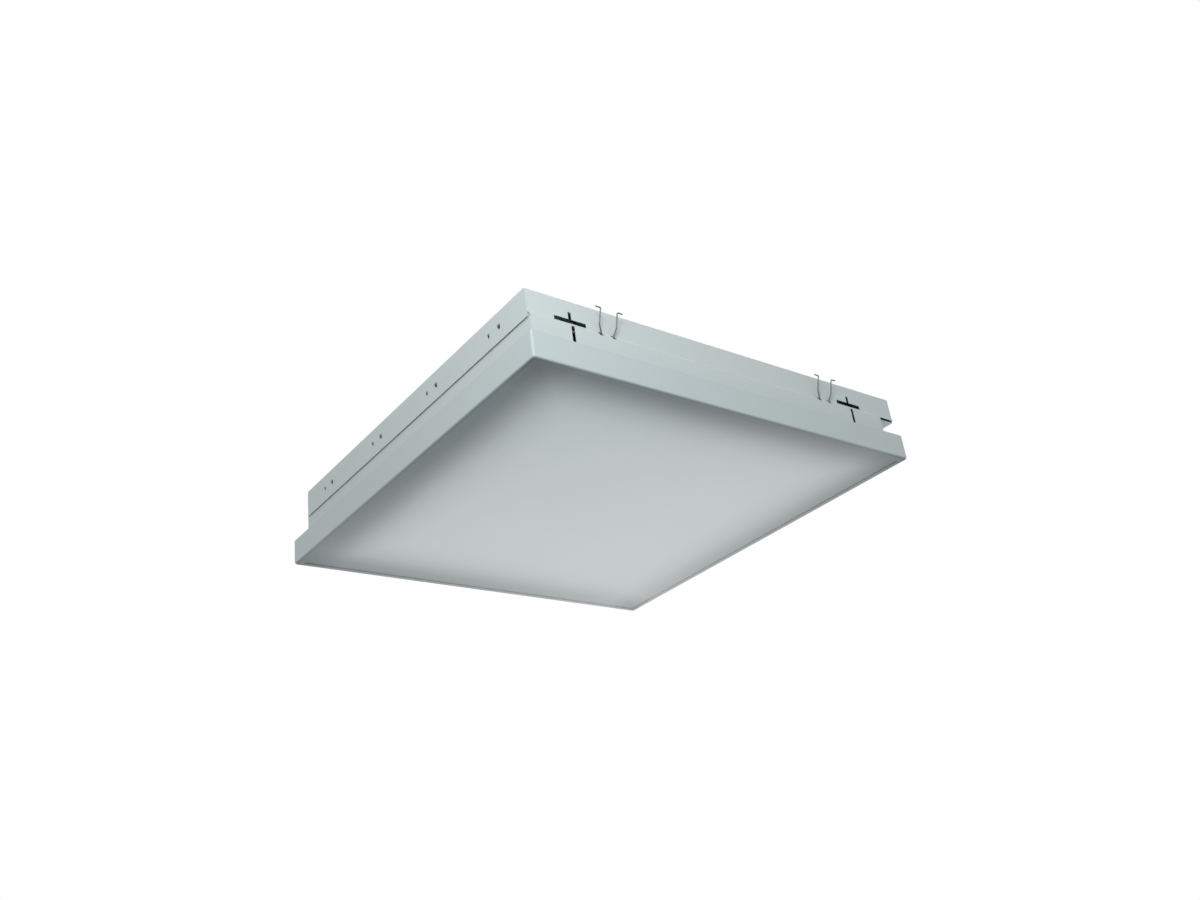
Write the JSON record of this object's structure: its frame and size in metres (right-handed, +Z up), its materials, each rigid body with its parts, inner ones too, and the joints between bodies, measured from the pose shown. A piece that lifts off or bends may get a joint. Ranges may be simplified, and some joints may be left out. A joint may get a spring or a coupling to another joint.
{
  "type": "recessed troffer light",
  "caption": "Square recessed ceiling light with an opal diffuser in a pull-down trim frame, hung on V springs under a stepped sheet steel housing with tube lamps inside.",
  "frame": {"origin": "centre of the trim frame's underside, in the plane of the ceiling's visible face", "axes": "+Z up into the ceiling void, -Y the front with springs 1 and 2, +X the end with the wiring box"},
  "size_m": [0.6098, 0.595, 0.1097],
  "materials": {
    "housing_steel": "satin pale grey",
    "frame_steel": "satin pale grey",
    "opal_acrylic": "satin opal",
    "zinc_steel": "zinc plated",
    "foam": "closed cell foam",
    "white_sheet": "gloss white",
    "white_plastic": "moulded white",
    "lamp_glass": "phosphor coated",
    "lamp_metal": "satin",
    "ballast_case": "satin white",
    "clamp_brass": "satin",
    "black_rubber": "matte",
    "wire_pvc": "satin white PVC",
    "spring_steel": "oiled spring wire"
  },
  "bodies": {
    "housing": {"housing_channel": "housing_steel", "end_plate_left": "housing_steel", "skirt_wall_left": "housing_steel", "skirt_wall_right": "housing_steel", "wiring_box": "housing_steel", "reflector": "white_sheet", "reflector_screws": "zinc_steel", "ballast": "ballast_case", "ballast_screws": "zinc_steel", "terminal_block": "white_plastic", "terminal_screws": "zinc_steel", "earth_stud": "clamp_brass", "cable_grommet": "black_rubber", "leads_left_front": "wire_pvc", "leads_left_back": "wire_pvc", "leads_right_front": "wire_pvc", "leads_right_back": "wire_pvc", "mains_leads": "wire_pvc", "lampholder_left_1": "white_plastic", "lampholder_right_1": "white_plastic", "lampholder_left_2": "white_plastic", "lampholder_right_2": "white_plastic", "lampholder_left_3": "white_plastic", "lampholder_right_3": "white_plastic", "lampholder_left_4": "white_plastic", "lampholder_right_4": "white_plastic"},
    "door": {"trim_frame": "frame_steel", "diffuser": "opal_acrylic", "glazing_bead_front": "zinc_steel", "glazing_bead_right": "zinc_steel", "glazing_bead_back": "zinc_steel", "glazing_bead_left": "zinc_steel", "gasket": "foam", "spring_pins": "zinc_steel", "bracket_rivets": "lamp_metal", "spring_bracket_1": "zinc_steel", "spring_bracket_2": "zinc_steel", "spring_bracket_3": "zinc_steel", "spring_bracket_4": "zinc_steel"},
    "spring_1_left": {"spring_1_left_half": "spring_steel"},
    "spring_1_right": {"spring_1_right_half": "spring_steel"},
    "spring_2_left": {"spring_2_left_half": "spring_steel"},
    "spring_2_right": {"spring_2_right_half": "spring_steel"},
    "spring_3_left": {"spring_3_left_half": "spring_steel"},
    "spring_3_right": {"spring_3_right_half": "spring_steel"},
    "spring_4_left": {"spring_4_left_half": "spring_steel"},
    "spring_4_right": {"spring_4_right_half": "spring_steel"},
    "lamp_1": {"lamp_1_tube": "lamp_glass", "lamp_1_caps": "lamp_metal"},
    "lamp_2": {"lamp_2_tube": "lamp_glass", "lamp_2_caps": "lamp_metal"},
    "lamp_3": {"lamp_3_tube": "lamp_glass", "lamp_3_caps": "lamp_metal"},
    "lamp_4": {"lamp_4_tube": "lamp_glass", "lamp_4_caps": "lamp_metal"}
  },
  "joints": [
    {"name": "frame_drop", "type": "slide", "parent": "housing", "child": "door", "axis": [0, 0, -1], "range_m": [0, 0.027], "stiffness_N_per_m": 150, "springref_m": -0.3},
    {"name": "spring_1_left_swing", "type": "hinge", "parent": "door", "child": "spring_1_left", "pos_m": [-0.177, -0.27197, 0.046], "axis": [-0.9149, 0.385, 0.1214], "range_deg": [0, 11.25]},
    {"name": "spring_1_right_swing", "type": "hinge", "parent": "door", "child": "spring_1_right", "pos_m": [-0.177, -0.27197, 0.046], "axis": [-0.9149, -0.385, -0.1214], "range_deg": [0, 11.25]},
    {"name": "spring_2_left_swing", "type": "hinge", "parent": "door", "child": "spring_2_left", "pos_m": [0.177, -0.27197, 0.046], "axis": [-0.9149, 0.385, 0.1214], "range_deg": [0, 11.25]},
    {"name": "spring_2_right_swing", "type": "hinge", "parent": "door", "child": "spring_2_right", "pos_m": [0.177, -0.27197, 0.046], "axis": [-0.9149, -0.385, -0.1214], "range_deg": [0, 11.25]},
    {"name": "spring_3_left_swing", "type": "hinge", "parent": "door", "child": "spring_3_left", "pos_m": [-0.177, 0.27197, 0.046], "axis": [0.9149, 0.385, -0.1214], "range_deg": [0, 11.25]},
    {"name": "spring_3_right_swing", "type": "hinge", "parent": "door", "child": "spring_3_right", "pos_m": [-0.177, 0.27197, 0.046], "axis": [0.9149, -0.385, 0.1214], "range_deg": [0, 11.25]},
    {"name": "spring_4_left_swing", "type": "hinge", "parent": "door", "child": "spring_4_left", "pos_m": [0.177, 0.27197, 0.046], "axis": [0.9149, 0.385, -0.1214], "range_deg": [0, 11.25]},
    {"name": "spring_4_right_swing", "type": "hinge", "parent": "door", "child": "spring_4_right", "pos_m": [0.177, 0.27197, 0.046], "axis": [0.9149, -0.385, 0.1214], "range_deg": [0, 11.25]},
    {"name": "lamp_1_twist", "type": "hinge", "parent": "housing", "child": "lamp_1", "pos_m": [0, -0.21195, 0.0855], "axis": [1, 0, 0], "range_deg": [-90, 0]},
    {"name": "lamp_2_twist", "type": "hinge", "parent": "housing", "child": "lamp_2", "pos_m": [0, -0.07065, 0.0855], "axis": [1, 0, 0], "range_deg": [-90, 0]},
    {"name": "lamp_3_twist", "type": "hinge", "parent": "housing", "child": "lamp_3", "pos_m": [0, 0.07065, 0.0855], "axis": [1, 0, 0], "range_deg": [-90, 0]},
    {"name": "lamp_4_twist", "type": "hinge", "parent": "housing", "child": "lamp_4", "pos_m": [0, 0.21195, 0.0855], "axis": [1, 0, 0], "range_deg": [-90, 0]}
  ],
  "couplings": [
    {"joint": "spring_1_left_swing", "follows": "frame_drop", "rad_per_m": 7.2066},
    {"joint": "spring_1_right_swing", "follows": "frame_drop", "rad_per_m": 7.2066},
    {"joint": "spring_2_left_swing", "follows": "frame_drop", "rad_per_m": 7.2066},
    {"joint": "spring_2_right_swing", "follows": "frame_drop", "rad_per_m": 7.2066},
    {"joint": "spring_3_left_swing", "follows": "frame_drop", "rad_per_m": 7.2066},
    {"joint": "spring_3_right_swing", "follows": "frame_drop", "rad_per_m": 7.2066},
    {"joint": "spring_4_left_swing", "follows": "frame_drop", "rad_per_m": 7.2066},
    {"joint": "spring_4_right_swing", "follows": "frame_drop", "rad_per_m": 7.2066}
  ]
}
